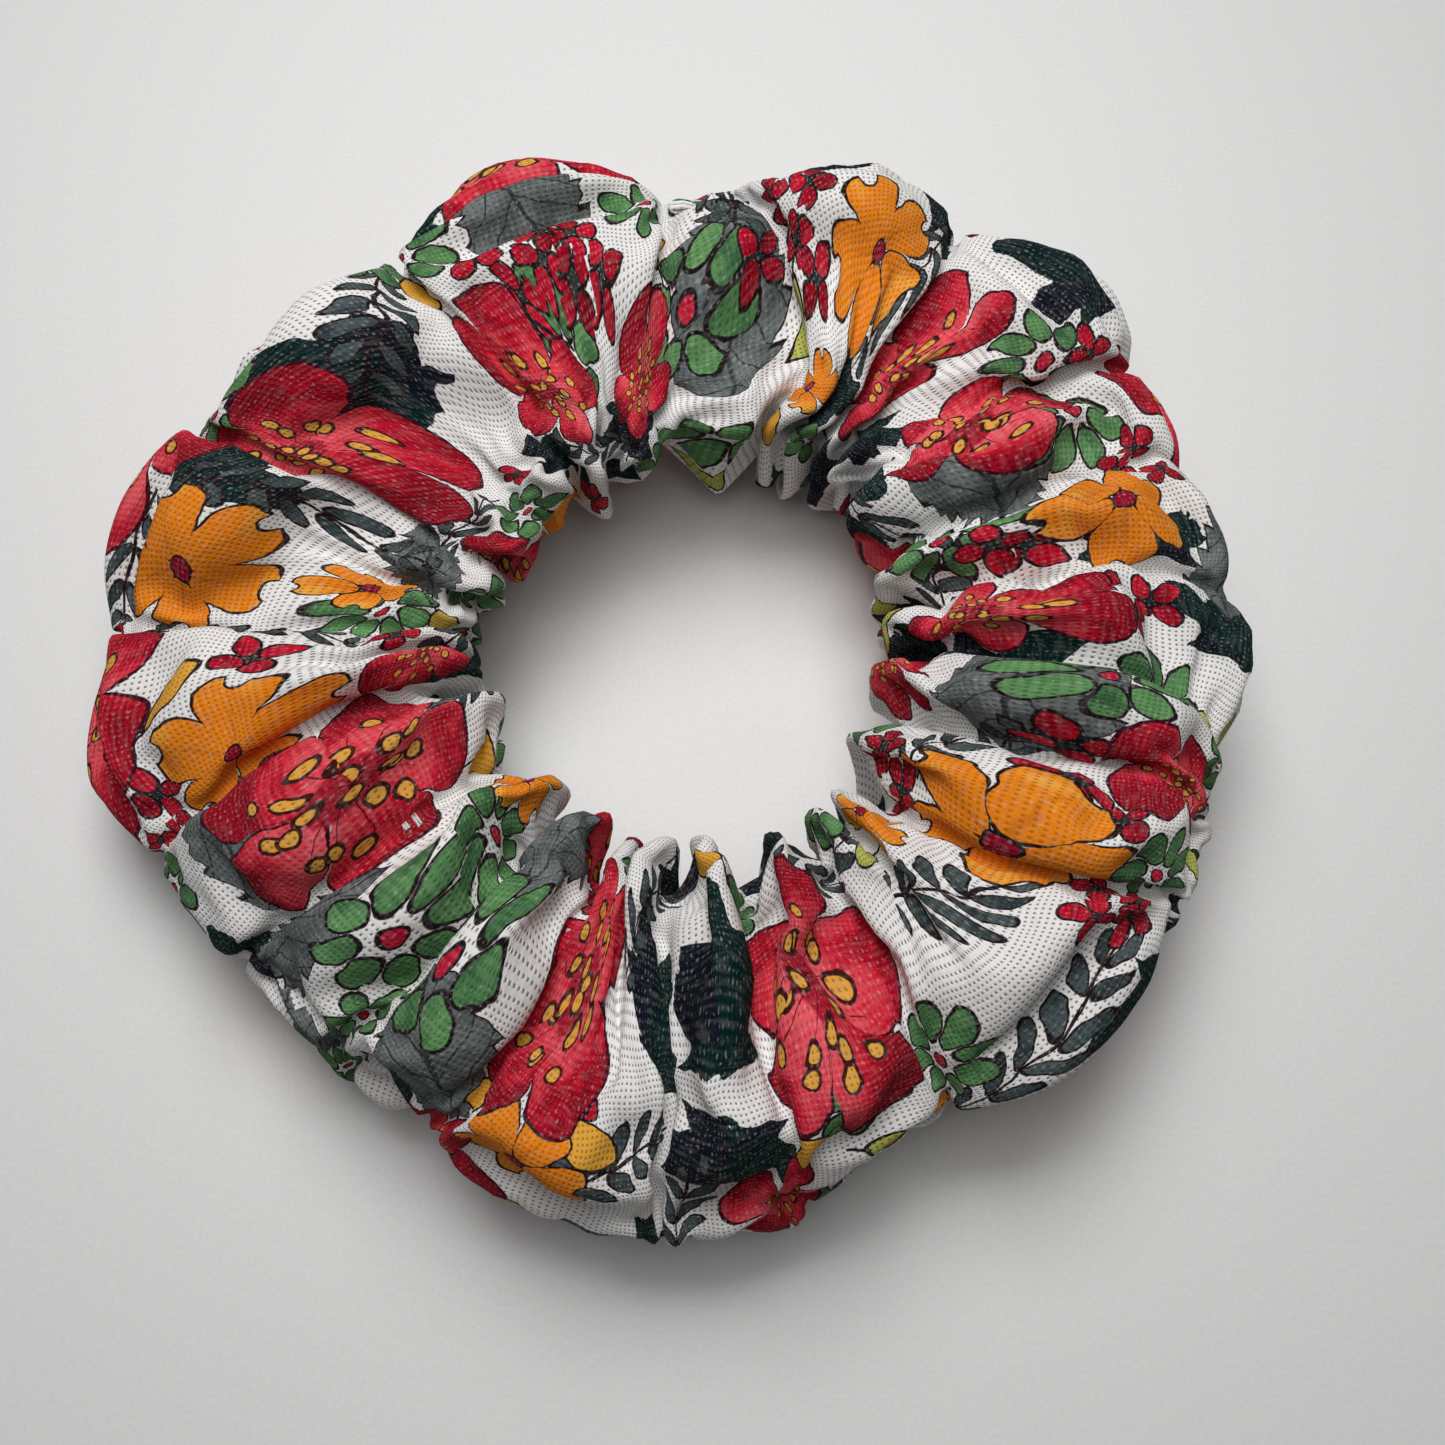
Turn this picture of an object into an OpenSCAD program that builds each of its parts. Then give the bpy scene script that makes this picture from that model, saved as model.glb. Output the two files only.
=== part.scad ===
// Scrunchie: a gathered cotton tube on a loop of flat elastic, lying flat on the plane z = 0.
// The ring's axis is +Z. The ring is built as a left half (x < 0) and a right half (x > 0),
// because the elastic lets the two halves be pulled apart along X.

/* [Ring] */
// Outer diameter of the gathered ring
outer_d = 103; // [96:1:112]
// Diameter of the opening that the hair goes through
opening_d = 33; // [30:1:38]
// Height of the ring as it lies on a table
ring_h = 26; // [24:1:30]
// Rounding of the tube's section
section_r = 10; // [9:0.5:11]

/* [Cloth] */
// Depth that the folds of the gathered cloth take up in the tube's wall
cloth_t = 2; // [1.5:0.1:2.5]
// Thickness of a seam allowance, two plies of cotton
allowance_t = 0.8; // [0.6:0.1:1]
// Width of the long seam's allowance, inside the outer rim
long_allowance_w = 6; // [5:0.5:7]
// Width of the closing seam's allowance, round the inside of the tube
closing_allowance_w = 4.5; // [4:0.5:5]
// Direction of the closing seam from the ring's centre, in degrees
closing_angle = 159; // [150:1:165]

/* [Elastic] */
// Inner radius of the relaxed elastic loop
elastic_r = 27; // [26:0.5:28.5]
// Width of the flat elastic
elastic_w = 6; // [5:0.5:7]
// Thickness of the flat elastic
elastic_t = 1; // [0.8:0.1:1.2]
// Length over which the elastic's ends overlap
overlap_l = 12; // [10:1:15]
// Direction of the overlap's middle from the ring's centre, in degrees
overlap_angle = 205; // [190:1:230]

/* [Thread] */
// Thickness of the sewing thread
thread_d = 0.3; // [0.2:0.05:0.4]
// Number of zigzag stitches across the elastic's overlap
zigzag_n = 10; // [6:1:14]

/* [Hidden] */
$fn = 96;
outer_r = outer_d / 2;
opening_r = opening_d / 2;
tube_w = outer_r - opening_r;
mid_z = ring_h / 2;
// Each half spans a little under 180 degrees, so that the halves stay clear of each other at rest.
half_deg = 179;
left_start = 180 - half_deg / 2;
right_start = -half_deg / 2;
// Clearance between a thread and the cloth or elastic that it lies on
thread_gap = 0.05;
// A small overlap that joins two solids of one piece
join = 0.1;
// The long seam's stitch line, just inside the tube's outer wall
stitch_r = outer_r - cloth_t - 1.2;
stitch_z = allowance_t / 2 + thread_d / 2 + thread_gap;
// The closing seam's stitch line, measured in from the outside of the cover
stitch_inset = cloth_t + 2.5;
stitch_y = allowance_t / 2 + thread_gap;
// Room that the closing seam leaves for the long seam that crosses it
crossing = [long_allowance_w + 2, 4 * allowance_t];
overlap_deg = overlap_l / elastic_r * 180 / PI;

// The tube's section in the ring's half-plane, x the radius and y the height, shrunk by inset all round.
module tube_section(inset = 0) {
    w = tube_w - 2 * inset;
    h = ring_h - 2 * inset;
    r = section_r - inset;
    translate([opening_r + inset, inset]) {
        translate([r, 0]) square([w - 2 * r, h]);
        translate([0, r]) square([w, h - 2 * r]);
        for (x = [r, w - r], y = [r, h - r]) translate([x, y]) circle(r);
    }
}

// A shape in the ring's half-plane, swept round half of the ring.
module half_ring(start) {
    rotate([0, 0, start]) rotate_extrude(angle = half_deg) children();
}

// A shape in the ring's half-plane, made into a plate across the tube at the closing seam.
module closing_plate(t, y) {
    rotate([0, 0, closing_angle]) translate([0, y, 0]) rotate([90, 0, 0])
        linear_extrude(t, center = true) difference() {
            children();
            translate([outer_r - crossing[0], mid_z - crossing[1] / 2]) square(crossing);
        }
}

// Half of the cloth cover: a hollow tube with the long seam's allowance inside its outer rim.
module cover_half(start) {
    color("mistyrose") half_ring(start) {
        difference() {
            tube_section();
            tube_section(cloth_t);
        }
        translate([outer_r - cloth_t - long_allowance_w, mid_z - allowance_t / 2])
            square([long_allowance_w + join, allowance_t]);
    }
}

module cover_left() {
    cover_half(left_start);
    color("mistyrose") closing_plate(allowance_t, 0) difference() {
        tube_section(cloth_t - join);
        tube_section(cloth_t + closing_allowance_w);
    }
}

module cover_right() {
    cover_half(right_start);
}

// Half of the elastic loop, one ply.
module elastic_half(start) {
    color("white") half_ring(start)
        translate([elastic_r, mid_z - elastic_w / 2]) square([elastic_t, elastic_w]);
}

module elastic_left() {
    elastic_half(left_start);
    // The overlapped end, a second ply outside the first
    color("white") rotate([0, 0, overlap_angle - overlap_deg / 2]) rotate_extrude(angle = overlap_deg)
        translate([elastic_r + elastic_t - join, mid_z - elastic_w / 2])
            square([elastic_t + join, elastic_w]);
}

module elastic_right() {
    elastic_half(right_start);
}

// Half of one thread of the long seam, above (side = 1) or below (side = -1) the allowance.
module long_seam_thread(start, side) {
    color("whitesmoke") half_ring(start)
        translate([stitch_r, mid_z + side * stitch_z]) circle(thread_d / 2);
}

// One thread of the closing seam, on one side of its allowance.
module closing_seam_thread(side) {
    color("whitesmoke") closing_plate(thread_d, side * (stitch_y + thread_d / 2)) difference() {
        tube_section(stitch_inset);
        tube_section(stitch_inset + thread_d);
    }
}

// A zigzag of straight stitches on a face of the overlapped elastic, at radius r.
module zigzag_thread(r) {
    step_deg = (overlap_deg - 4) / zigzag_n;
    rise = elastic_w - 2;
    run = 2 * r * tan(step_deg / 2);
    tilt = atan2(rise, run);
    long = sqrt(rise * rise + run * run) + thread_d / 2;
    color("whitesmoke") for (i = [0 : zigzag_n - 1])
        rotate([0, 0, overlap_angle + (i - (zigzag_n - 1) / 2) * step_deg]) translate([r, 0, mid_z])
            rotate([i % 2 == 0 ? tilt : -tilt, 0, 0]) cube([thread_d, long, thread_d], center = true);
}

module elastic_join_needle_thread() {
    zigzag_thread(elastic_r - thread_d / 2 - 2 * thread_gap);
}

module elastic_join_bobbin_thread() {
    zigzag_thread(elastic_r + 2 * elastic_t + thread_d / 2 + 2 * thread_gap);
}

cover_left();
cover_right();
elastic_left();
elastic_right();
long_seam_thread(left_start, 1);  // long_seam_needle_thread_left
long_seam_thread(right_start, 1);  // long_seam_needle_thread_right
long_seam_thread(left_start, -1);  // long_seam_bobbin_thread_left
long_seam_thread(right_start, -1);  // long_seam_bobbin_thread_right
closing_seam_thread(1);  // closing_seam_needle_thread
closing_seam_thread(-1);  // closing_seam_bobbin_thread
elastic_join_needle_thread();
elastic_join_bobbin_thread();
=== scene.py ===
"""A gathered cotton scrunchie lying flat: a simulated, printed cloth cover on a loop of braided elastic."""

import math

import bpy
import numpy as np
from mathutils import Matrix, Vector
from mathutils.bvhtree import BVHTree


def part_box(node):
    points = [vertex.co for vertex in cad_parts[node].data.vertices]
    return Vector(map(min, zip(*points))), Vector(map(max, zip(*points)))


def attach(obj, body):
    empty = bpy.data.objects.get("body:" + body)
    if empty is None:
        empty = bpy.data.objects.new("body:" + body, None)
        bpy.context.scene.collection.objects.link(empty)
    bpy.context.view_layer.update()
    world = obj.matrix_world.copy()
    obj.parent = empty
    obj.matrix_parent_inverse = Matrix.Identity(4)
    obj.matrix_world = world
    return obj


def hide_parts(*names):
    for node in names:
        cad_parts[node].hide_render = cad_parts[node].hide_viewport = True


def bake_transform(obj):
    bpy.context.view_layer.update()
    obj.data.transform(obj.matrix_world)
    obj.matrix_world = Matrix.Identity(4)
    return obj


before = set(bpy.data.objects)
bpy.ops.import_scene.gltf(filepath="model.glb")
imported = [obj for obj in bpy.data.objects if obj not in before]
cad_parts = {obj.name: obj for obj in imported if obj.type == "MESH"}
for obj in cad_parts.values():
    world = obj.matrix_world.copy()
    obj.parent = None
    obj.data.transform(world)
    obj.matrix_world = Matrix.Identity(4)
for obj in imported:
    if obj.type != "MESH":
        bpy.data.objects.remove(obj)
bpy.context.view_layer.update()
MM = 0.001
TAU = 2 * math.pi

# ---------------------------------------------------------------------------------------------- sizes
ELASTIC_LOW, ELASTIC_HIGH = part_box("elastic_right")
ELASTIC_T = 1.0 * MM
ELASTIC_R = ELASTIC_HIGH.x - ELASTIC_T / 2
ELASTIC_W = ELASTIC_HIGH.z - ELASTIC_LOW.z
MID_Z = (ELASTIC_LOW.z + ELASTIC_HIGH.z) / 2
OVERLAP_L = 12 * MM         # the elastic's ends lie on each other over this length
OVERLAP_DEG = 205           # the overlap's direction from the ring's centre
THREAD_R = 0.14 * MM

CLOTH_L = 392 * MM          # the strip's length between the closing seam's stitches
CLOTH_W = 88 * MM           # the strip's width between the long seam's stitches
SEAM_ALLOWANCE = 5 * MM     # folded inside on each edge of the strip
CLOTH_T = 0.3 * MM
WEAVE_PITCH = 0.44          # mm between the cloth's threads, before it is gathered

COLUMNS, ROWS = 248, 48     # the cloth's grid, along the strip and round the tube
SIM_SCALE = 20              # Blender's cloth behaves best at about this size
SIM_FRAMES = 20


# ---------------------------------------------------------------------------------------------- cloth
# Each puff of the gathered cover, anticlockwise from the closing seam: its direction in degrees at the opening
# and at the rim, how far it reaches past the mean rim in mm, its share of the cloth, and how deep the crease
# after it cuts into the rim in mm.
PUFFS = [
    (154, 167, 5, 1.5, 2), (174, 184, 6.5, 1.4, 3), (208, 199, 0, 1.1, 3), (238, 214, -1, 1.0, 4),
    (250, 230, -2, 1.1, 2), (266, 256, 1, 1.9, 0), (278, 276, 2, 1.0, 0), (284, 291, -2, 1.1, 9),
    (300, 318, 2, 1.7, 5), (330, 337, -3, 1.1, 4), (355, 346, -3, 1.2, 4), (374, 357, 3, 1.3, 2),
    (387, 370, 2, 1.1, 2), (394, 381, 2, 0.8, 3), (400, 397, 4, 1.5, 8), (414, 424, 2, 1.8, 5),
    (432, 442, -5, 0.6, 5), (458, 463, 3, 2.0, 5), (492, 500, 2, 1.8, 2),
]
RIM_R = 41.3 * MM           # mean outer radius of the ring
TUBE_HALF_W = 16.3 * MM
TUBE_HALF_H = 9.1 * MM
INNER_POWER = 0.55          # flattens the wall round the opening: 1 is round, lower is squarer
INNER_DEPTH = 3.5 * MM      # half the depth of the folds, at the opening and on top
TOP_DEPTH = 3.2 * MM


def gathered_start():
    """The cloth's points before the simulation: a ring of puffs that each hold their share of the cloth."""
    at_opening, at_rim, reach, share, notch = np.array(PUFFS, dtype=float).T
    rolls = np.where(share > 1.35, 2, 1)
    edge = np.concatenate([[0], np.cumsum(share)]) / share.sum()

    along = np.arange(COLUMNS) / COLUMNS
    puff = np.clip(np.searchsorted(edge, along, side="right") - 1, 0, len(PUFFS) - 1)
    part = (along - edge[puff]) / (edge[puff + 1] - edge[puff])
    phase = TAU * (part - 0.5)
    cut_in = np.where(part > 0.5, notch[puff], np.roll(notch, 1)[puff])
    top = 0.5 + 0.5 * np.cos(phase)
    rim = (reach[puff] * top - cut_in * (1 - top)) * MM
    n = rolls[puff]
    sign = np.where(n == 2, -1, 1)

    def creases(direction):
        """The angle of the crease before each puff and of the crease after it."""
        direction = np.radians(direction)
        following = np.append(direction[1:], direction[0] + TAU)
        after = direction + (following - direction) * share / (share + np.roll(share, -1))
        return np.append(after[-1] - TAU, after[:-1]), after

    spans = np.array([creases(at_opening), creases(at_rim)])
    seam_at = spans[1, 0][puff] + (spans[1, 1] - spans[1, 0])[puff] * part
    seam = np.radians(-50 + 85 * np.exp(-((np.degrees(seam_at) % 360 - 112) / 40) ** 2))
    rng = np.random.default_rng(5)
    points = np.zeros((COLUMNS, ROWS, 3))
    for row in range(ROWS):
        round_tube = TAU * row / ROWS + seam
        c, s = np.cos(round_tube), np.sin(round_tube)
        outer = 0.5 + 0.5 * c
        c = np.where(c < 0, -np.abs(c) ** INNER_POWER, c)
        s = np.where(c < 0, np.sign(s) * np.abs(s) ** INNER_POWER, s)
        before, after = (spans[0][:, puff] + (spans[1] - spans[0])[:, puff] * outer)
        split = np.maximum(0, 1 - 1.6 * outer) ** 0.7
        depth = INNER_DEPTH + (TOP_DEPTH - INNER_DEPTH) * outer
        wave = depth * ((1 - split) * np.cos(phase) + sign * split * np.cos(n * phase) / n ** 0.7)
        wave = wave + (rim - wave) * np.maximum(c, 0) ** 2
        radius = RIM_R - TUBE_HALF_W + (TUBE_HALF_W + wave) * c
        swing = 0.9 / TAU * ((1 - split) * np.sin(phase) + sign * split * np.sin(n * phase) / n)
        angle = before + (after - before) * (part + swing)
        points[:, row, 0] = radius * np.cos(angle)
        points[:, row, 1] = radius * np.sin(angle)
        points[:, row, 2] = MID_Z + (TUBE_HALF_H + wave) * s
    points += rng.normal(0, 0.2 * MM, points.shape)
    points[:, :, 2] += max(0.0, 0.8 * MM - points[:, :, 2].min())
    return points


def flat_cut():
    """The cloth as it was cut: the tube pressed flat and stood up as a band, so that every length is true."""
    band_r = CLOTH_L / TAU
    thin = 1.5 * MM
    turn = np.linspace(0, TAU, 4001)
    section = np.stack([thin * np.cos(turn), CLOTH_W / 4 * np.sin(turn)], -1)
    run = np.concatenate([[0], np.cumsum(np.linalg.norm(np.diff(section, axis=0), axis=1))])
    at = np.interp(np.arange(ROWS) / ROWS * run[-1], run, turn)
    angle = np.arange(COLUMNS) / COLUMNS * TAU
    radius = band_r + thin * np.cos(at)
    points = np.zeros((COLUMNS, ROWS, 3))
    points[:, :, 0] = np.cos(angle)[:, None] * radius
    points[:, :, 1] = np.sin(angle)[:, None] * radius
    points[:, :, 2] = (CLOTH_W / 4 * np.sin(at) * CLOTH_W / run[-1])[None, :]
    return points


def ring_faces(columns, rows, first=0):
    """The quads of a grid that closes on itself both ways."""
    i, j = np.meshgrid(np.arange(columns), np.arange(rows), indexing="ij")
    i2, j2 = (i + 1) % columns, (j + 1) % rows
    corners = [i * rows + j, i2 * rows + j, i2 * rows + j2, i * rows + j2]
    return first + np.stack(corners, -1).reshape(-1, 4)


def new_object(name, points, faces, smooth=True):
    mesh = bpy.data.meshes.new(name)
    mesh.from_pydata(np.asarray(points).reshape(-1, 3).tolist(), [], [list(map(int, f)) for f in faces])
    mesh.polygons.foreach_set("use_smooth", [smooth] * len(mesh.polygons))
    mesh.update()
    obj = bpy.data.objects.new(name, mesh)
    bpy.context.scene.collection.objects.link(obj)
    return obj


def simulate(start, cut):
    """Lets the gathered cloth settle round the elastic and on the floor, and returns its points."""
    cloth = new_object("settling", start * SIM_SCALE, ring_faces(COLUMNS, ROWS))
    cloth.shape_key_add(name="gathered")
    key = cloth.shape_key_add(name="cut")
    key.data.foreach_set("co", (cut * SIM_SCALE).astype(np.float32).ravel())
    key.value = 0

    bpy.ops.mesh.primitive_torus_add(
        major_radius=ELASTIC_R * SIM_SCALE, minor_radius=ELASTIC_W / 2 * SIM_SCALE,
        major_segments=96, minor_segments=12, location=(0, 0, MID_Z * SIM_SCALE))
    loop = bpy.context.object
    bpy.ops.mesh.primitive_plane_add(size=8)
    ground = bpy.context.object
    for solid, thickness, friction in ((loop, 0.01, 5), (ground, 0.008, 15)):
        solid.modifiers.new("solid", "COLLISION")
        solid.collision.thickness_outer = thickness
        solid.collision.cloth_friction = friction

    modifier = cloth.modifiers.new("cotton", "CLOTH")
    cotton = modifier.settings
    cotton.rest_shape_key = key
    cotton.quality = 5
    cotton.mass = 0.15
    cotton.air_damping = 2
    cotton.bending_model = "ANGULAR"
    cotton.tension_stiffness = cotton.compression_stiffness = 30
    cotton.shear_stiffness = 12
    cotton.bending_stiffness = 15
    cotton.bending_damping = 0.5
    cotton.tension_damping = cotton.compression_damping = cotton.shear_damping = 8
    cotton.use_pressure = True
    cotton.uniform_pressure_force = 6
    cotton.effector_weights.gravity = 0.25
    contact = modifier.collision_settings
    contact.collision_quality = 3
    contact.distance_min = 0.01
    contact.use_self_collision = True
    contact.self_distance_min = 0.012
    contact.self_friction = 8
    modifier.point_cache.frame_start, modifier.point_cache.frame_end = 1, SIM_FRAMES
    for number in range(1, SIM_FRAMES + 1):
        bpy.context.scene.frame_set(number)
    settled = cloth.evaluated_get(bpy.context.evaluated_depsgraph_get()).to_mesh()
    points = np.zeros(len(settled.vertices) * 3, np.float32)
    settled.vertices.foreach_get("co", points)
    points = points.reshape(COLUMNS, ROWS, 3).astype(float) / SIM_SCALE
    for helper in (cloth, loop, ground):
        bpy.data.objects.remove(helper)
    bpy.context.scene.frame_set(1)
    return points


def refined(points):
    """Twice as fine each way, on the smooth surface that the grid controls."""
    for axis in (0, 1):
        before, after = np.roll(points, 1, axis), np.roll(points, -1, axis)
        corner, middle = (before + 6 * points + after) / 8, (points + after) / 2
        points = np.stack([corner, middle], axis + 1)
        shape = list(points.shape)
        shape[axis:axis + 2] = [shape[axis] * 2]
        points = points.reshape(shape)
    return points


def clear_of_elastic(points):
    """The points, moved off the elastic where the smoothed folds cut into it."""
    away = np.hypot(points[..., 0], points[..., 1])
    out, high = away - ELASTIC_R, points[..., 2] - MID_Z
    room_out, room_high = 3.2 * MM, ELASTIC_W / 2 + 0.9 * MM
    reach = np.hypot(out / room_out, high / room_high)
    push = np.maximum(1 / np.maximum(reach, 0.1), 1)
    points[..., :2] *= ((ELASTIC_R + out * push) / away)[..., None]
    points[..., 2] = MID_Z + high * push
    return points


def outward(points):
    """Unit normals of the tube's grid, pointing out of the tube."""
    along = np.roll(points, -1, 0) - np.roll(points, 1, 0)
    round_tube = np.roll(points, -1, 1) - np.roll(points, 1, 1)
    normal = np.cross(round_tube, along)
    normal = -normal if (normal * (points - points.mean(1, keepdims=True))).sum() < 0 else normal
    return normal / np.maximum(np.linalg.norm(normal, axis=2, keepdims=True), 1e-12)


# ---------------------------------------------------------------------------------------------- view
def look_at(obj, target):
    obj.rotation_euler = (Vector(target) - obj.location).to_track_quat("-Z", "Y").to_euler()


CAMERA_TILT = math.radians(18)
CAMERA_DISTANCE = 137 * MM
CAMERA_LENS = 38.2
AIM = Vector((3.6 * MM, -6.1 * MM, 10 * MM))
LAMPS_AIM = (0, 0.02, 0)
# Each lamp's name, place in m, size in m, power in W and spread in degrees.
LAMPS = [
    ("window", (-0.02, 0.15, 0.30), 0.20, 0.36, 120),
    ("ceiling", (0.0, 0.0, 0.26), 0.20, 0.235, 180),
]


def add_view():
    """The camera, the pale floor and the soft daylight from the far side."""
    scene = bpy.context.scene
    camera = bpy.data.objects.new("camera", bpy.data.cameras.new("camera"))
    scene.collection.objects.link(camera)
    camera.data.lens = CAMERA_LENS
    camera.data.clip_start = 0.005
    towards = Vector((0, -math.sin(CAMERA_TILT), math.cos(CAMERA_TILT)))
    camera.location = AIM + CAMERA_DISTANCE * towards
    look_at(camera, AIM)
    scene.camera = camera
    scene.view_settings.view_transform = "Standard"

    world = bpy.data.worlds.new("room")
    world.use_nodes = True
    background = world.node_tree.nodes["Background"]
    background.inputs["Color"].default_value = (0.97, 0.98, 1.0, 1)
    background.inputs["Strength"].default_value = 0.01
    scene.world = world
    for name, place, size, power, spread in LAMPS:
        lamp = bpy.data.lights.new(name, "AREA")
        lamp.size = size
        lamp.energy = power
        lamp.spread = math.radians(spread)
        light = bpy.data.objects.new(name, lamp)
        scene.collection.objects.link(light)
        light.location = place
        look_at(light, LAMPS_AIM)

    corners = [(-2, -2, 0), (2, -2, 0), (2, 2, 0), (-2, 2, 0)]
    floor = new_object("floor", corners, [(0, 1, 2, 3)], smooth=False)
    graph = Graph("floor_paper")
    shader = graph.surface({"Roughness": 0.6})
    place = Value(graph, graph.node("NewGeometry").outputs["Position"])
    grain = graph.noise(place, 2600, 2.0)
    graph.link(graph.mix(grain, (0.74, 0.737, 0.73), (0.86, 0.857, 0.85)), shader, "Base Color")
    floor.data.materials.append(graph.material)
    return camera


# ---------------------------------------------------------------------------------------------- shader nodes
class Value:
    """A shader socket that takes part in plain arithmetic."""

    def __init__(self, graph, socket):
        self.graph, self.socket = graph, socket

    def __add__(self, other):
        return self.graph.math("ADD", self, other)

    def __sub__(self, other):
        return self.graph.math("SUBTRACT", self, other)

    def __mul__(self, other):
        return self.graph.math("MULTIPLY", self, other)

    def __truediv__(self, other):
        return self.graph.math("DIVIDE", self, other)

    def __rsub__(self, other):
        return self.graph.math("SUBTRACT", other, self)

    __radd__, __rmul__ = __add__, __mul__


class Graph:
    """One material, built from expressions."""

    def __init__(self, name):
        self.material = bpy.data.materials.new(name)
        self.material.use_nodes = True
        self.tree = self.material.node_tree
        self.tree.nodes.clear()

    def node(self, kind, **settings):
        node = self.tree.nodes.new("ShaderNode" + kind)
        for name, value in settings.items():
            setattr(node, name, value)
        return node

    def link(self, value, node, socket):
        target = node.inputs[socket]
        if isinstance(value, Value):
            self.tree.links.new(value.socket, target)
        elif isinstance(value, tuple) and len(value) == 3 and target.type == "RGBA":
            target.default_value = (*value, 1)
        else:
            target.default_value = value

    def math(self, operation, *values):
        node = self.node("Math", operation=operation)
        for place, value in enumerate(values):
            self.link(value, node, place)
        return Value(self, node.outputs[0])

    def hypot(self, x, y):
        return self.math("SQRT", x * x + y * y)

    def low(self, *values):
        return self.fold("MINIMUM", values)

    def high(self, *values):
        return self.fold("MAXIMUM", values)

    def fold(self, operation, values):
        result = values[0]
        for value in values[1:]:
            result = self.math(operation, result, value)
        return result

    def chance(self, seed, salt=0.0):
        """A number from 0 to 1 that only depends on seed."""
        return self.math("FRACT", self.math("SINE", seed * 91.7 + (salt + 3.1)) * 437.5)

    def inside(self, distance, edge=0.0, soft=0.03):
        """1 where distance is below edge, 0 above it."""
        node = self.node("MapRange", interpolation_type="SMOOTHSTEP")
        for place, value in enumerate((distance, edge - soft, edge + soft, 1.0, 0.0)):
            self.link(value, node, place)
        return Value(self, node.outputs[0])

    def mix(self, factor, a, b, blend="MIX"):
        node = self.node("Mix", data_type="RGBA", blend_type=blend, clamp_factor=True)
        for place, value in ((0, factor), (6, a), (7, b)):
            self.link(value, node, place)
        return Value(self, node.outputs[2])

    def vector(self, operation, *values):
        node = self.node("VectorMath", operation=operation)
        for place, value in enumerate(values):
            self.link(value, node, place)
        return Value(self, node.outputs[0])

    def attribute(self, name):
        return Value(self, self.node("Attribute", attribute_name=name).outputs["Vector"])

    def split(self, vector):
        node = self.node("SeparateXYZ")
        self.link(vector, node, 0)
        return [Value(self, node.outputs[k]) for k in range(3)]

    def noise(self, vector, scale, detail=2.0, output="Fac"):
        node = self.node("TexNoise")
        self.link(vector, node, "Vector")
        node.inputs["Scale"].default_value = scale
        node.inputs["Detail"].default_value = detail
        return Value(self, node.outputs[output])

    def surface(self, settings):
        shader = self.node("BsdfPrincipled")
        for name, value in settings.items():
            shader.inputs[name].default_value = value
        output = self.node("OutputMaterial")
        self.tree.links.new(shader.outputs[0], output.inputs[0])
        return shader

    def bump(self, shader, height, distance, strength=1.0):
        node = self.node("Bump")
        node.inputs["Strength"].default_value = strength
        node.inputs["Distance"].default_value = distance
        self.link(height, node, "Height")
        self.tree.links.new(node.outputs[0], shader.inputs["Normal"])


# ---------------------------------------------------------------------------------------------- the print
INK = (0.014, 0.008, 0.010)
OUTLINE = 0.12              # half the width of a drawn outline, in mm


def petals(graph, x, y, count, centre, long, wide, turn=0.0, taper=0.0):
    """Distance in mm to the edge of a ring of petals, the place in the nearest petal's frame, and its number.

    The petals lie centre mm from the middle; long and wide are half their length and width."""
    turns = graph.math("ARCTAN2", y, x) * (count / TAU) + turn
    number = graph.math("FLOOR", turns + 0.5)
    angle = (turns - number) * (TAU / count)
    radius = graph.hypot(x, y)
    px = radius * graph.math("COSINE", angle)
    py = radius * graph.math("SINE", angle)
    spread = py * graph.high(1.0 + taper - px * (taper / centre), 0.35) if taper else py
    return ellipse(graph, px - centre, spread, long, wide), px, py, number


def ellipse(graph, x, y, long, wide):
    """Distance in mm to the edge of an ellipse, near that edge."""
    return (graph.hypot(x / long, y / wide) - 1.0) * min(long, wide)


def drawn(graph, ground, distance, fill, line=OUTLINE, ink=INK):
    """A filled shape with an inked outline, over the ground."""
    inked = graph.mix(graph.inside(distance, line), ground, ink)
    return graph.mix(graph.inside(distance, -line), inked, fill)


def poppy(graph, ground, x, y, seed, mottle):
    edge, px, py, number = petals(graph, x, y, 5, 5.6, 4.6, 3.6, taper=0.45)
    shade = graph.chance(number + seed * 9.0)
    edge = edge - shade * 0.9 + 0.45
    fade = px * 0.11 + py * (shade - 0.5) * 0.3 + mottle * 0.35 + shade * 0.5
    red = graph.mix(graph.inside(fade, 0.80, 0.45), (0.58, 0.007, 0.030), (0.84, 0.105, 0.130))
    fill = graph.mix(graph.inside(fade, 1.25, -0.3) * 0.8, red, (0.20, 0.002, 0.010))
    result = drawn(graph, ground, edge, fill, ink=(0.05, 0.003, 0.012))
    radius = graph.hypot(x, y)
    ray = graph.math("ABSOLUTE", graph.math("SINE", graph.math("ARCTAN2", y, x) * 6.5)) * radius
    rays = graph.inside(ray, 0.22, 0.08) * graph.inside(radius, 4.2, 0.4)
    result = graph.mix(graph.inside(radius, 1.9, 0.2), result, (0.40, 0.012, 0.03))
    result = graph.mix(rays, result, (0.12, 0.006, 0.014))
    for count, reach, size, turn in ((9, 4.6, 0.62, 0.2), (7, 2.9, 0.56, 0.6), (4, 1.2, 0.5, 0.1)):
        _, sx, sy, dot = petals(graph, x, y, count, reach, 1.0, 1.0, turn)
        away = graph.chance(dot + seed * 5.0, count) * 1.8 - 0.9
        spot = graph.hypot((sx - reach + away) * 0.8, sy) - size
        result = drawn(graph, result, spot, (0.74, 0.36, 0.055), 0.12, (0.05, 0.010, 0.008))
    return result


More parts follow.
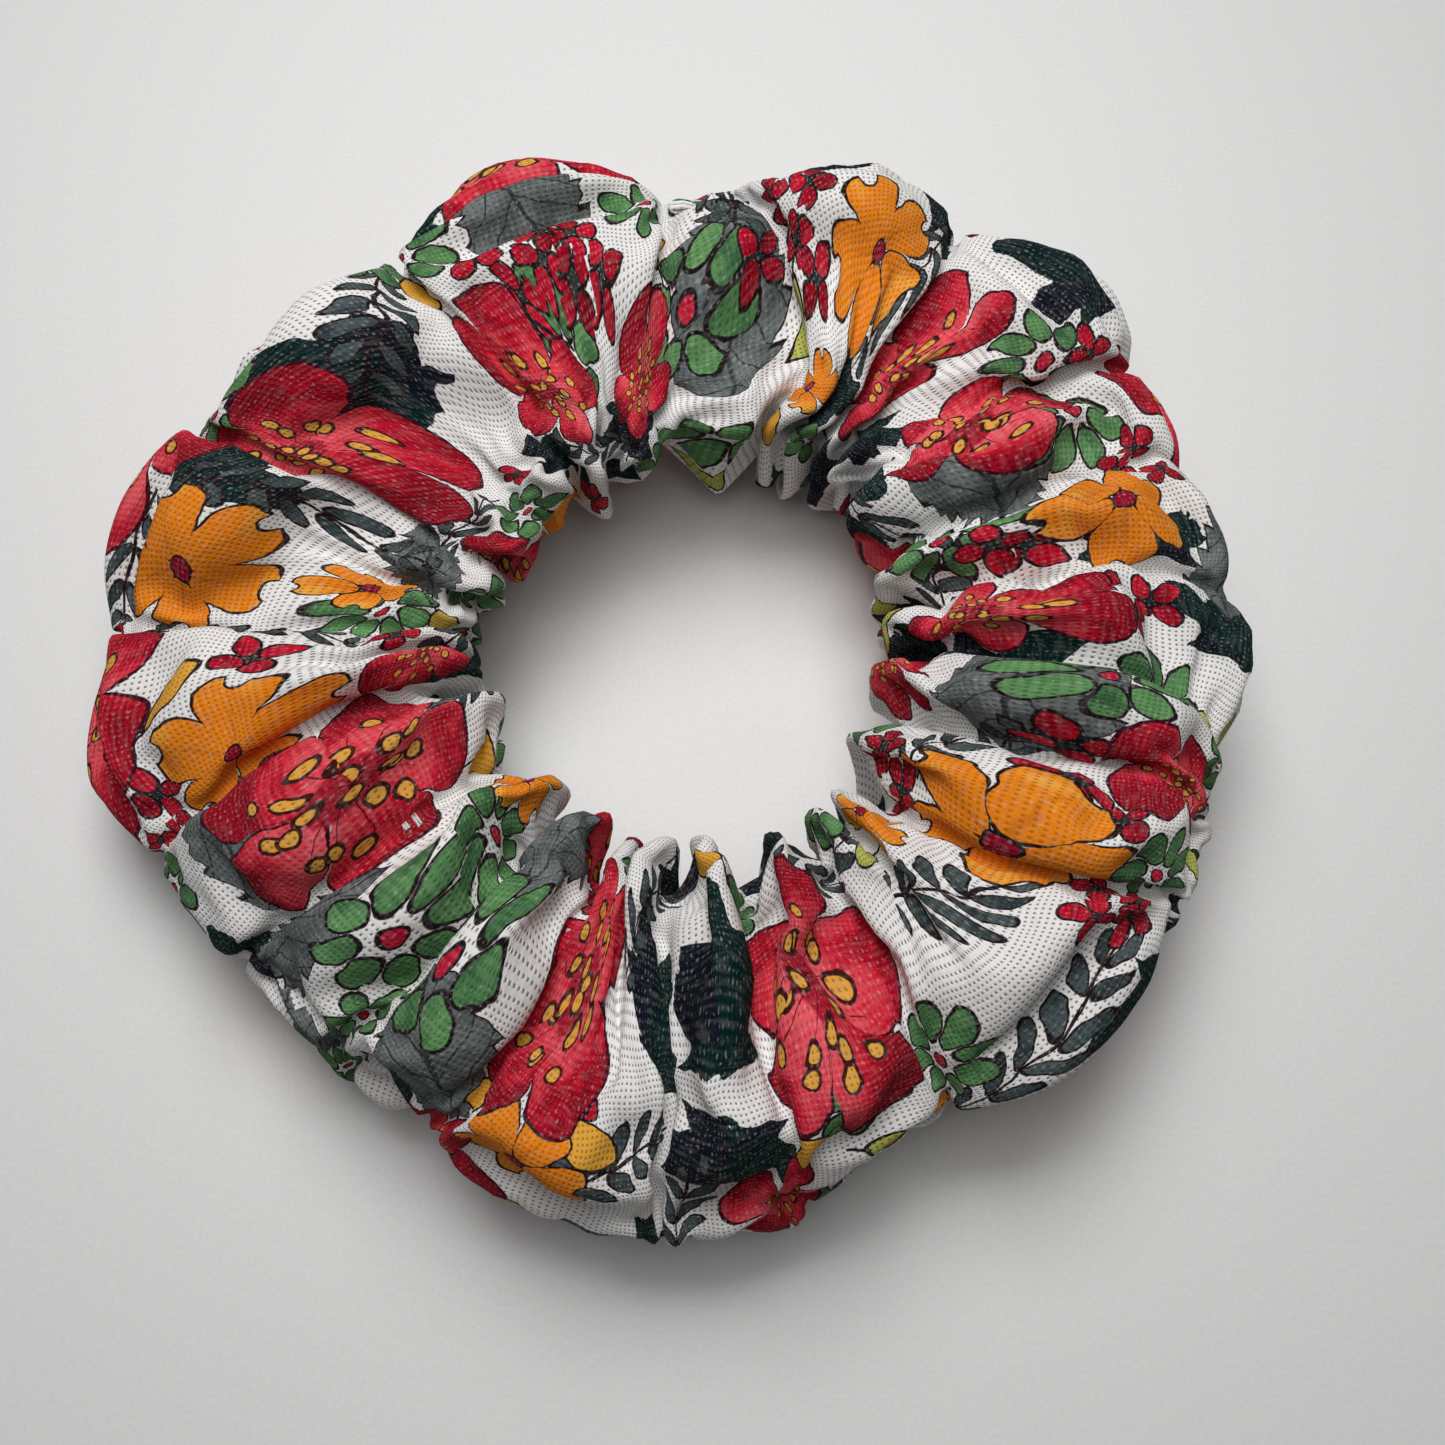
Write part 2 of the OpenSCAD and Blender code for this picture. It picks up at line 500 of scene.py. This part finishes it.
def orange_flower(graph, ground, x, y, seed, mottle):
    edge, px, py, number = petals(graph, x, y, 5, 4.5, 3.6, 2.75, taper=0.5)
    shade = graph.chance(number + seed * 7.0)
    notch = 1.5 - graph.hypot((px - 9.0) * 0.75, py * 1.25)
    edge = graph.high(edge - shade * 0.5 + 0.2, notch)
    gold = graph.inside(9.0 - px + mottle * 4.0 + shade * 3.0, 4.6, 2.6)
    fill = graph.mix(gold, (0.80, 0.225, 0.008), (0.86, 0.40, 0.05))
    vein = graph.inside(graph.math("ABSOLUTE", py) + px * 0.04, 0.28, 0.12)
    fill = graph.mix(vein * 0.4, fill, (0.42, 0.11, 0.01))
    result = drawn(graph, ground, edge, fill, ink=(0.02, 0.008, 0.008))
    return drawn(graph, result, graph.hypot(x, y) - 1.05, (0.30, 0.006, 0.03))


def daisy(graph, ground, x, y, seed, mottle):
    edge, _, _, number = petals(graph, x, y, 8, 3.5, 1.95, 1.15, taper=0.25)
    tone = graph.chance(number + seed * 7.0) * 0.6 + mottle * 0.6
    fill = graph.mix(tone, (0.03, 0.105, 0.04), (0.125, 0.30, 0.105))
    result = drawn(graph, ground, edge, fill, 0.11)
    return drawn(graph, result, graph.hypot(x, y) - 0.7, (0.52, 0.01, 0.04), 0.11)


def berries(graph, ground, x, y, seed, mottle):
    edge, _, _, number = petals(graph, x, y, 4, 1.55, 1.15, 0.92)
    tone = graph.chance(number + seed * 7.0) * 0.7 + mottle * 0.5
    fill = graph.mix(tone, (0.16, 0.001, 0.007), (0.56, 0.006, 0.03))
    result = drawn(graph, ground, edge, fill, 0.11)
    return graph.mix(graph.inside(graph.hypot(x, y), 0.4), result, (0.02, 0.03, 0.028))


def sprig(graph, ground, x, y, seed, mottle):
    stem_y = y + x * x * 0.012
    across = graph.math("ABSOLUTE", stem_y)
    step = graph.math("WRAP", x - across * 0.9, 1.35, -1.35)
    size = 1.0 - graph.math("ABSOLUTE", x) * 0.035
    leaf = graph.hypot(step / 1.0, (across - 1.55 * size) / 1.3) - size
    leaf = graph.high(leaf, graph.math("ABSOLUTE", x + 0.4) - 9.6)
    stem = graph.high(across - 0.16, graph.math("ABSOLUTE", x) - 10.5)
    fill = graph.mix(mottle + 0.2, (0.020, 0.032, 0.036), (0.065, 0.088, 0.092))
    result = drawn(graph, ground, leaf, fill, 0.11)
    return graph.mix(graph.inside(stem), result, INK)


def foliage(graph, ground, x, y, seed, mottle):
    edge, px, _, number = petals(graph, x, y, 6, 5.2, 5.2, 2.1, taper=-0.3)
    length = graph.chance(number + seed * 5.0)
    edge = graph.high(edge, px - 7.0 - length * 4.0 + mottle, 0.0 - x - 1.5)
    navy = graph.chance(number * 1.7 + seed * 3.0, 0.4)
    fill = graph.mix(graph.inside(navy, 0.35), (0.0015, 0.018, 0.017), (0.005, 0.006, 0.016))
    heart = ellipse(graph, x - 2.0, y, 4.2, 3.6)
    fill = graph.mix(mottle * 0.4, fill, (0.008, 0.026, 0.024))
    return graph.mix(graph.inside(graph.low(edge, heart + mottle)), ground, fill)


def grey_leaf(graph, ground, x, y, seed, mottle):
    across = graph.math("ABSOLUTE", y)
    blade = ellipse(graph, x, across + 1.6, 9.5, 6.6)
    serrated = blade + graph.math("PINGPONG", x * 0.9 + across, 1.0) * 0.9
    rib = graph.inside(across + graph.math("ABSOLUTE", x) * 0.008, 0.2, 0.06)
    vein = graph.math("ABSOLUTE", graph.math("WRAP", x - across * 1.1, 1.5, -1.5))
    veins = graph.inside(vein, 0.12, 0.06)
    fill = graph.mix(mottle, (0.075, 0.092, 0.092), (0.16, 0.18, 0.175))
    fill = graph.mix(graph.high(rib, veins) * 0.85, fill, (0.02, 0.024, 0.026))
    return drawn(graph, ground, serrated, fill, 0.11)


def bud(graph, ground, x, y, seed, mottle):
    edge = ellipse(graph, x, graph.math("ABSOLUTE", y) + 0.5, 3.3, 2.1)
    fill = graph.mix(graph.inside(seed, 0.5), (0.46, 0.48, 0.10), (0.78, 0.38, 0.04))
    result = drawn(graph, ground, edge, fill)
    stem = graph.high(graph.math("ABSOLUTE", y - x * 0.1) - 0.16, graph.math("ABSOLUTE", x + 5.2) - 2.4)
    return graph.mix(graph.inside(stem), result, INK)


# The print's layers, from the lowest: what draws each motif, its radius in mm, how many the strip holds, and
# where some of them show from above: direction in degrees, distance from the ring's centre in mm, turn in
# degrees and, where it isn't 1, size.
LAYERS = {
    "foliage": (foliage, 7.5, 54, [
        (137, 34, -60), (275, 34, 95), (191, 18, 200), (0, 48, 0), (103, 23, 80), (294, 16, 90), (275, 44, 260),
        (11, 43, 0)]),
    "grey_leaf": (grey_leaf, 7.0, 24, [
        (80, 35, 80), (350, 28, 170), (160, 24, 200), (32, 32, 5), (204, 43, 0), (244, 19, 60)]),
    "sprig": (sprig, 7.0, 44, [(131, 43, 55), (162, 34, 95), (316, 31, -15), (59, 44, 60), (264, 46, 20)]),
    "daisy": (daisy, 5.4, 62, [
        (94, 46, 0), (91, 34, 20), (230, 36, 10), (293, 42, 0), (39, 42, 0), (31, 43, 30), (356, 38, 0),
        (154, 49, 0), (24, 25, 0), (231, 24, 0), (174, 27, 0), (112, 30, 0)]),
    "berries": (berries, 2.7, 330, [
        (104, 43, 0), (107, 38, 20), (110, 41, 50), (102, 38.5, 10), (108, 45, 70), (113, 38, 0), (75, 43, 0),
        (78, 40, 40), (72, 40, 20), (36, 47.5, 0), (17, 30, 0), (14, 32, 30), (6, 38, 0), (3, 41, 50),
        (9, 36, 20),
        (340, 37, 0), (337, 40, 40), (342, 35, 10), (328, 19, 0), (323, 22, 50), (178, 26, 0), (182, 38, 20),
        (258, 41, 0), (200, 46, 0), (326, 42, 0)]),
    "bud": (bud, 2.8, 46, [(120, 38, -30), (262, 44.5, -20), (97, 27, 70)]),
    "orange_flower": (orange_flower, 7.8, 19, [
        (173, 45, 0, 0.9), (196, 40, 20, 0.85), (324, 32, 50), (65, 44, 0, 0.8), (20, 42, 30, 0.8),
        (224, 17, 10, 0.6), (253, 47, 0, 0.7), (170, 28, 0, 0.5), (67, 28, 40, 0.6), (316, 21, 0, 0.6)]),
    "poppy": (poppy, 10.0, 32, [
        (154, 40, 10), (121, 27, 40, 0.8), (207, 30, 0), (254, 32, 30), (291, 31.5, 10), (52, 33, 20, 0.9),
        (97, 25, 0, 0.6), (39, 33, 50, 0.7), (182, 21, 0, 0.6), (354, 17, 0, 0.6), (7, 25, 30, 0.7)]),
}
# How many of its own radius each motif keeps from others of its kind.
SPACING = {"foliage": 1.6, "grey_leaf": 1.8, "sprig": 1.9, "daisy": 1.8, "berries": 0.88, "bud": 3.0,
           "orange_flower": 1.9, "poppy": 1.9}
# The order in which the rest of the strip is filled, and how far each motif keeps from every motif that is
# there before it: 1 is as far as their two radii.
FILLING = {"poppy": 0.8, "orange_flower": 0.85, "foliage": 0.62, "daisy": 0.85, "grey_leaf": 0.7, "sprig": 0.7,
           "berries": 0.85, "bud": 0.8}


MARK_Z = 16 * MM            # the height at which the motifs' places from above are given


def place_motifs(points, normals, eye):
    """Each layer's motifs on the flat strip: place in mm, turn, size and a number from 0 to 1."""
    rng = np.random.default_rng(11)
    columns, rows = points.shape[:2]
    width, length = CLOTH_W / MM, CLOTH_L / MM
    sight = np.array(eye) - points
    facing = (normals * sight).sum(2) / np.linalg.norm(sight, axis=2)
    placed = {}
    for name, (*_, seen) in LAYERS.items():
        placed[name] = []
        for degrees, away, turn, *size in seen:
            angle = math.radians(degrees)
            mark = np.array([math.cos(angle), math.sin(angle), 0]) * away * MM
            mark[2] = MARK_Z
            ray = (mark - eye) / np.linalg.norm(mark - eye)
            offset = points - eye
            depth = offset @ ray
            miss = np.linalg.norm(offset - depth[:, :, None] * ray, axis=2)
            score = np.where(facing > 0.15, np.maximum(miss, 1.2 * MM) * 6 + depth, 9.0)
            column, row = np.unravel_index(score.argmin(), score.shape)
            place = (column * length / columns, row * width / rows)
            placed[name].append((*place, math.radians(turn), *(size or [1.0]), rng.random()))
    taken = np.array([(*motif[:2], LAYERS[name][1]) for name, motifs in placed.items() for motif in motifs])
    for name, apart in FILLING.items():
        _, radius, total, _ = LAYERS[name]
        motifs = placed[name]
        for _ in range(5000):
            if len(motifs) >= total:
                break
            spot = np.array([rng.uniform(0, length), rng.uniform(0, width)])
            if name == "berries" and rng.random() < 0.85:
                near = motifs[rng.integers(len(motifs))]
                bearing = rng.uniform(0, TAU)
                spot = np.array(near[:2]) + 4.9 * np.array([math.cos(bearing), math.sin(bearing)])
            own = np.array(motifs)[:, :2]
            clear = (np.hypot(*(own - spot).T) > radius * SPACING[name]).all()
            if clear and (np.hypot(*(taken[:, :2] - spot).T) > apart * (taken[:, 2] + radius)).all():
                motifs.append((*spot, rng.uniform(0, TAU), rng.uniform(0.88, 1.1), rng.random()))
        taken = np.concatenate([taken, [(*motif[:2], radius) for motif in motifs]])
    return {name: np.array(motifs) for name, motifs in placed.items()}


def store_print(mesh, corners, placed):
    """Keeps at each corner of each face its place on the flat strip and in the nearest motif of each layer."""
    def keep(name, values):
        attribute = mesh.attributes.new(name, "FLOAT_VECTOR", "CORNER")
        attribute.data.foreach_set("vector", np.asarray(values, np.float32).ravel())

    keep("cloth_at", np.concatenate([corners, np.zeros((*corners.shape[:2], 1))], 2))
    centre = corners.mean(1)
    for name, motifs in placed.items():
        nearest = np.zeros(len(centre), int)
        best = np.full(len(centre), np.inf)
        for number, motif in enumerate(motifs):
            distance = np.hypot(*(centre - motif[:2]).T) / motif[3]
            closer = distance < best
            nearest[closer], best[closer] = number, distance[closer]
        motif = motifs[nearest][:, None, :]
        offset = (corners - motif[..., :2]) / motif[..., 3:4]
        c, s = np.cos(motif[..., 2]), np.sin(motif[..., 2])
        x = offset[..., 0] * c + offset[..., 1] * s
        y = offset[..., 1] * c - offset[..., 0] * s
        seed = np.broadcast_to(motif[..., 4], x.shape)
        keep(name + "_at", np.stack([x, y, seed], -1))


def printed_cotton():
    """Off-white plain weave with the floral print soaked into its threads."""
    graph = Graph("printed_cotton")
    cloth = graph.attribute("cloth_at")
    waver = graph.vector("SUBTRACT", graph.noise(cloth, 0.25, 2.0, "Color"), (0.5, 0.5, 0.5))
    blotch = graph.noise(cloth, 0.45, 3.0)
    mottle = graph.inside(0.0 - blotch, -0.5, 0.14)

    colour = graph.mix(graph.noise(cloth, 0.08, 2.0), (0.86, 0.84, 0.82), (0.81, 0.79, 0.775))
    for name, (draw, *_) in LAYERS.items():
        drift = graph.vector("MULTIPLY", waver, (2.2, 2.2, 0))
        x, y, seed = graph.split(graph.vector("ADD", graph.attribute(name + "_at"), drift))
        colour = draw(graph, colour, x, y, seed, mottle)
    ink_cover = 1.0 - graph.split(colour)[1] * 1.25

    u, v, _ = graph.split(graph.vector("ADD", cloth, graph.vector("MULTIPLY", waver, (0.4, 0.4, 0))))
    u_wave = graph.math("SINE", u * (math.pi / WEAVE_PITCH))
    v_wave = graph.math("SINE", v * (math.pi / WEAVE_PITCH))
    warp, weft, over = graph.math("ABSOLUTE", u_wave), graph.math("ABSOLUTE", v_wave), u_wave * v_wave
    hole = graph.inside(graph.high(warp, weft), 0.54, 0.20)
    slub = graph.noise(graph.vector("MULTIPLY", cloth, (0.5, 3.0, 1.0)), 1.1, 2.0)
    pale = graph.inside(ink_cover, 0.5, 0.2)
    shaded = graph.mix(1.0, colour, (0.13, 0.12, 0.12), "MULTIPLY")
    colour = graph.mix(hole * (0.38 + pale * 0.5), colour, shaded)
    # Painted highlight: the thread tops are lightened towards pale pink in noise speckles, on the printed
    # colours only.
    painted_thread_highlight = graph.inside(0.0 - warp * weft - over * 0.2 - slub * 0.5, -0.9, 0.3)
    fleck = graph.inside(graph.noise(cloth, 3.4, 1.0), 0.44, 0.05)
    colour = graph.mix(painted_thread_highlight * fleck * (1.0 - pale) * 0.2, colour, (0.80, 0.72, 0.70))
    colour = graph.mix(graph.inside(slub, 0.42, 0.12) * 0.12, colour, (0.35, 0.33, 0.32))

    shader = graph.surface({
        "Roughness": 0.95, "Specular IOR Level": 0.06})
    graph.link(colour, shader, "Base Color")
    crease = graph.noise(cloth, 0.22, 3.0)
    height = graph.high(warp, weft) + over * 0.15 + slub * 0.4 + crease * 2.6
    graph.bump(shader, height, 0.08 * MM, 0.7)
    return graph.material


def braid():
    """White elastic braid: fine ribs along the band, crossed by the yarns' zigzag."""
    graph = Graph("elastic_braid")
    along, across, _ = graph.split(graph.attribute("band_at"))
    rib = graph.math("ABSOLUTE", graph.math("SINE", across * (math.pi / 0.75)))
    lean = graph.math("PINGPONG", across, 0.75)
    yarn = graph.math("ABSOLUTE", graph.math("SINE", (along + lean) * (math.pi / 0.9)))
    height = rib * 0.6 + yarn * 0.4
    shader = graph.surface({"Roughness": 0.75, "Sheen Weight": 0.1})
    # Painted shade: the white braid is drawn darker grey down in the grooves between its ribs and yarns, and
    # lighter on their tops.
    graph.link(graph.mix(height, (0.42, 0.41, 0.39), (0.84, 0.83, 0.80)), shader, "Base Color")
    graph.bump(shader, height, 0.2 * MM)
    return graph.material


def twisted_thread():
    """Off-white sewing thread, with its plies' twist."""
    graph = Graph("sewing_thread")
    along, around, _ = graph.split(graph.attribute("band_at"))
    ply = graph.math("ABSOLUTE", graph.math("SINE", along * 4.0 + around * 3.0))
    shader = graph.surface({"Roughness": 0.6, "Sheen Weight": 0.2})
    # Painted shade: the thread is drawn darker in the grooves between its plies, and lighter on their ridges.
    graph.link(graph.mix(ply, (0.50, 0.47, 0.43), (0.86, 0.83, 0.78)), shader, "Base Color")
    graph.bump(shader, ply, 0.06 * MM)
    return graph.material


def stretches(obj):
    """The piece runs all round the ring; its placement is baked into its points."""
    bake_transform(obj)


def grid_places(columns, rows):
    """The column and the row of each face of a grid, as two single-column arrays."""
    return [index.reshape(-1, 1) for index in np.meshgrid(np.arange(columns), np.arange(rows), indexing="ij")]


def cotton_cover(points, eye):
    """The printed cover: the settled cloth with its real thickness, its seams and its seam allowance inside."""
    columns, rows = points.shape[:2]
    normals = outward(points)
    pucker = 0.3 * np.sin(np.arange(columns) * TAU / 2.6)
    points[:, 0] -= normals[:, 0] * 0.55 * MM
    for row in (1, rows - 1):
        points[:, row] += normals[:, row] * (0.12 + 0.1 * pucker[:, None]) * MM
    points[0] -= normals[0] * 0.5 * MM
    normals = outward(points)
    inside = points - normals * CLOTH_T

    size = columns * rows
    solids = [points.reshape(-1, 3), inside.reshape(-1, 3)]
    faces = [ring_faces(columns, rows), ring_faces(columns, rows, size)[:, ::-1]]
    inward = -normals[:, 0] * allowance_depth(points, normals)[:, None]
    across = points[:, 1] - points[:, -1]
    across *= CLOTH_T / np.linalg.norm(across, axis=1, keepdims=True)
    root = inside[:, 0] - normals[:, 0] * 0.1 * MM
    for side in (1, -1):
        near, away = root + across * 0.1 * side, root + across * 1.1 * side
        solids.append(np.stack([near, near + inward, away + inward, away], 1).reshape(-1, 3))
        faces.append(ring_faces(columns, 4, 2 * size + (len(faces) - 2) * 4 * columns)[:, ::side])
    cover = new_object("cotton_cover", np.concatenate(solids), np.concatenate(faces))

    du, dv = CLOTH_L / MM / columns, CLOTH_W / MM / rows
    a, b = grid_places(columns, rows)
    corners = np.stack([(a + [0, 1, 1, 0]) * du, (b + [0, 0, 1, 1]) * dv], -1)
    a, b = grid_places(columns, 4)
    reach = np.array([0, -5.0, -5.0, 0])
    v = np.concatenate([reach[b], reach[(b + [0, 1, 1]) % 4]], 1)
    edge = np.stack([(a + [0, 1, 1, 0]) * du, v], -1)
    far = edge * [1, -1] + [0, CLOTH_W / MM]
    corners = np.concatenate([corners, corners[:, ::-1], edge, far[:, ::-1]])
    store_print(cover.data, corners, place_motifs(points, normals, np.array(eye)))
    cover.data.materials.append(printed_cotton())
    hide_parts("cover_left", "cover_right")
    stretches(cover)
    return cover


def cloth_tree(points):
    """The cloth's surface, to look up how far inside the tube a place is."""
    faces = ring_faces(*points.shape[:2]).tolist()
    return BVHTree.FromPolygons([Vector(p) for p in points.reshape(-1, 3)], faces)


def depth_inside(place, tree):
    """How far a place is inside the tube, its nearest place on the cloth, and the cloth's normal there."""
    hit, normal, _, _ = tree.find_nearest(place)
    return (hit - place).dot(normal), hit, normal


def allowance_depth(points, normals):
    """How far the long seam's allowance reaches inside at each column: all of it, or less where the tube is
    pinched."""
    room = 0.9 * MM
    tree = cloth_tree(points)
    depth = np.zeros(len(points))
    for column, (start, normal) in enumerate(zip(points[:, 0], normals[:, 0])):
        reach = 1.0 * MM
        while reach < SEAM_ALLOWANCE:
            inside, _, _ = depth_inside(Vector(start - normal * (reach + room)), tree)
            if inside < room * 0.95:
                break
            reach += 0.25 * MM
        depth[column] = reach
    smooth = sum(np.minimum(np.roll(depth, k), depth) for k in (-2, -1, 0, 1, 2)) / 5
    return np.minimum(smooth, depth)


def tucked(path, tree):
    """The path of a thread, kept inside the cloth where the tube is pinched."""
    result = []
    for place in path:
        place = Vector(place)
        for room in (0.6, 0.55, 0.5, 0.45):
            inside, hit, normal = depth_inside(place, tree)
            if inside >= 0.5 * MM:
                break
            place = hit - normal * room * MM
        result.append(place)
    return np.array(result)


def tube_along(name, path, radius, closed, sides=6):
    """A round thread along a path."""
    path = np.asarray(path, float)
    if closed:
        tangent = np.roll(path, -2, 0) - np.roll(path, 2, 0)
    else:
        longer = np.concatenate([path[:1], path[:1], path, path[-1:], path[-1:]])
        tangent = longer[4:] - longer[:-4]
    tangent /= np.maximum(np.linalg.norm(tangent, axis=1, keepdims=True), 1e-9)
    side = np.cross(tangent, np.where(np.abs(tangent[:, 2:]) < 0.9, [[0, 0, 1.0]], [[1.0, 0, 0]]))
    side /= np.linalg.norm(side, axis=1, keepdims=True)
    up = np.cross(side, tangent)
    turn = np.arange(sides) / sides * TAU
    ring = side[:, None] * np.cos(turn)[None, :, None] + up[:, None] * np.sin(turn)[None, :, None]
    points = path[:, None] + ring * radius
    count = len(path)
    faces = ring_faces(count, sides)
    if not closed:
        faces = [list(f) for f in faces[:-sides]]
        faces += [list(range(sides))[::-1], [(count - 1) * sides + k for k in range(sides)]]
    thread = new_object(name, points, faces)
    run = np.concatenate([[0], np.cumsum(np.linalg.norm(np.diff(path, axis=0), axis=1))]) / MM
    keep_run(thread.data, run, sides, TAU)
    thread.data.materials.append(MATERIALS["thread"])
    return thread


def keep_run(mesh, run, sides, width):
    """Keeps at each corner how far along the band or thread it is, and where across it, both in mm."""
    count = len(run)
    values = np.zeros((len(mesh.loops), 3), np.float32)
    vertex = np.zeros(len(mesh.loops), int)
    mesh.loops.foreach_get("vertex_index", vertex)
    values[:, 0] = np.asarray(run)[(vertex // sides) % count]
    values[:, 1] = (vertex % sides) / sides * width
    attribute = mesh.attributes.new("band_at", "FLOAT_VECTOR", "CORNER")
    attribute.data.foreach_set("vector", values.ravel())


def elastic_band():
    """The flat elastic: one turn and an overlap, its outer end lying on its inner end."""
    overlap = OVERLAP_L / ELASTIC_R
    start = math.radians(OVERLAP_DEG) - overlap / 2
    steps = 300
    part = np.linspace(0, 1, steps)
    angle = start + part * (TAU + overlap)
    ease = np.clip((part * (TAU + overlap) - (TAU - 0.6)) / 0.6, 0, 1)
    radius = ELASTIC_R + ELASTIC_T * 1.02 * ease * ease * (3 - 2 * ease)
    half_t, half_w = ELASTIC_T / 2, ELASTIC_W / 2
    section = [(-half_t, 0.8 * half_w), (-half_t, -0.8 * half_w),
               (-0.5 * half_t, -half_w), (0.5 * half_t, -half_w),
               (half_t, -0.8 * half_w), (half_t, 0.8 * half_w),
               (0.5 * half_t, half_w), (-0.5 * half_t, half_w)]
    sides = len(section)
    points = np.zeros((steps, sides, 3))
    for number, (out, high) in enumerate(section):
        points[:, number, 0] = (radius + out) * np.cos(angle)
        points[:, number, 1] = (radius + out) * np.sin(angle)
        points[:, number, 2] = MID_Z + high
    faces = [list(f) for f in ring_faces(steps, sides)[:-sides]]
    faces += [list(range(sides))[::-1], [(steps - 1) * sides + k for k in range(sides)]]
    band = new_object("elastic_band", points, faces, smooth=False)
    keep_run(band.data, angle * ELASTIC_R / MM, sides, 2 * ELASTIC_W / MM)
    band.data.materials.append(MATERIALS["braid"])
    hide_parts("elastic_left", "elastic_right")
    stretches(band)
    return band


def long_seam_threads(points):
    """The long seam's lockstitch: needle and bobbin thread, just inside the cover along the tube's seam."""
    normals = outward(points)
    tree = cloth_tree(points)
    stitch = np.cos(np.arange(len(points)) * TAU / 2.5)[:, None]
    for name, depth in (("needle", 1.2), ("bobbin", 1.9)):
        path = points[:, 0] - normals[:, 0] * (depth + 0.12 * stitch) * MM
        thread = tube_along(f"long_seam_{name}_thread", tucked(path, tree), THREAD_R, closed=True)
        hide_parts(f"long_seam_{name}_thread_left", f"long_seam_{name}_thread_right")
        stretches(thread)


def closing_seam_threads(points):
    """The stitches that join the tube's two ends."""
    normals = outward(points)
    tree = cloth_tree(points)
    stitch = np.cos(np.arange(points.shape[1]) * TAU / 2.5)[:, None]
    for name, depth in (("needle", 1.1), ("bobbin", 1.7)):
        path = (points[0] - normals[0] * (depth + 0.12 * stitch) * MM)[1:-1]
        thread = tube_along(f"closing_seam_{name}_stitches", tucked(path, tree), THREAD_R, closed=False)
        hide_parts(f"closing_seam_{name}_thread")
        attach(thread, "left_half")


def elastic_join_threads():
    """The zigzag across the elastic's overlap, needle thread inside and bobbin thread outside."""
    turns = 11
    overlap = (OVERLAP_L - 2 * MM) / ELASTIC_R
    angle = math.radians(OVERLAP_DEG) + np.linspace(-0.5, 0.5, turns) * overlap
    height = MID_Z + np.where(np.arange(turns) % 2 == 0, 1, -1) * 2 * MM
    for name, radius in (("needle", ELASTIC_R - ELASTIC_T / 2 - THREAD_R),
                         ("bobbin", ELASTIC_R + 1.52 * ELASTIC_T + THREAD_R)):
        path = np.stack([radius * np.cos(angle), radius * np.sin(angle), height], -1)
        fine = np.concatenate([path[:-1] + (path[1:] - path[:-1]) * k / 4 for k in range(4)])
        along = np.tile(np.arange(turns - 1), 4) + np.repeat(np.arange(4) / 4, turns - 1)
        fine = np.append(fine[np.argsort(along, kind="stable")], path[-1:], 0)
        thread = tube_along(f"elastic_join_{name}_zigzag", fine, THREAD_R, closed=False)
        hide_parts(f"elastic_join_{name}_thread")
        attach(thread, "left_half")


def settled_cloth():
    """The simulated cloth, stood on the floor."""
    start = gathered_start()
    points = simulate(start, flat_cut())
    points = clear_of_elastic(refined(points))
    points[:, :, 2] -= points[:, :, 2].min()
    return points


view = add_view()
MATERIALS = {"braid": braid(), "thread": twisted_thread()}
cloth_points = settled_cloth()
cover = cotton_cover(cloth_points, view.location)
band = elastic_band()
long_seam_threads(cloth_points)
closing_seam_threads(cloth_points)
elastic_join_threads()
